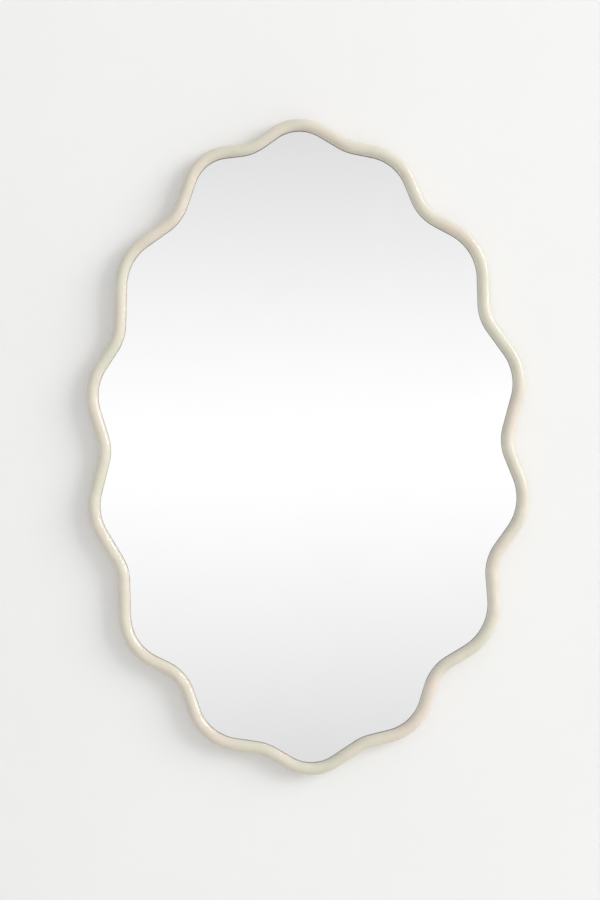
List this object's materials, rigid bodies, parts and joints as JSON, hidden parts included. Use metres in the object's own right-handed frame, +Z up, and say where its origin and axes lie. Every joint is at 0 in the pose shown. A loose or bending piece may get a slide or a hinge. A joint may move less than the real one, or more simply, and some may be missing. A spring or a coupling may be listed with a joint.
{
  "type": "wall mirror",
  "caption": "Wall mirror in a slim half-round frame with a wavy oval outline, closed by a screwed back board and hung on swinging D rings.",
  "frame": {"origin": "the point of the wall plane behind the middle of the frame's outline", "axes": "+X to the viewer's right, +Z up, and the front faces -Y; the wall is y = 0"},
  "size_m": [0.6049, 0.0254, 0.9],
  "materials": {
    "frame_lacquer": "satin cream lacquer on moulded resin",
    "mirror_glass": "silvered float glass",
    "safety_film": "grey safety film",
    "foam_tape": "white foam tape",
    "board": "bare fibreboard",
    "screw_steel": "zinc plated, slightly yellow",
    "hanger_steel": "zinc plated",
    "ring_steel": "nickel plated wire",
    "bumper_rubber": "translucent grey rubber"
  },
  "bodies": {
    "mirror": {"frame_ring": "frame_lacquer", "mirror_glass": "mirror_glass", "safety_film": "safety_film", "back_board": "board", "board_screws": "screw_steel", "hanger_strap_left": "hanger_steel", "hanger_strap_right": "hanger_steel", "hanger_screws_left": "screw_steel", "hanger_screws_right": "screw_steel", "wall_bumper_lower_left": "bumper_rubber", "wall_bumper_lower_right": "bumper_rubber", "wall_bumper_upper_left": "bumper_rubber", "wall_bumper_upper_right": "bumper_rubber", "tape_strip_1": "foam_tape", "tape_strip_2": "foam_tape", "tape_strip_3": "foam_tape", "tape_strip_4": "foam_tape", "tape_strip_5": "foam_tape"},
    "ring_left": {"hanger_ring_left": "ring_steel"},
    "ring_right": {"hanger_ring_right": "ring_steel"}
  },
  "joints": [
    {"name": "ring_left_swing", "type": "hinge", "parent": "mirror", "child": "ring_left", "pos_m": [-0.13, -0.0031, 0.255], "axis": [1, 0, 0], "range_deg": [0, 180]},
    {"name": "ring_right_swing", "type": "hinge", "parent": "mirror", "child": "ring_right", "pos_m": [0.13, -0.0031, 0.255], "axis": [1, 0, 0], "range_deg": [0, 180]}
  ]
}
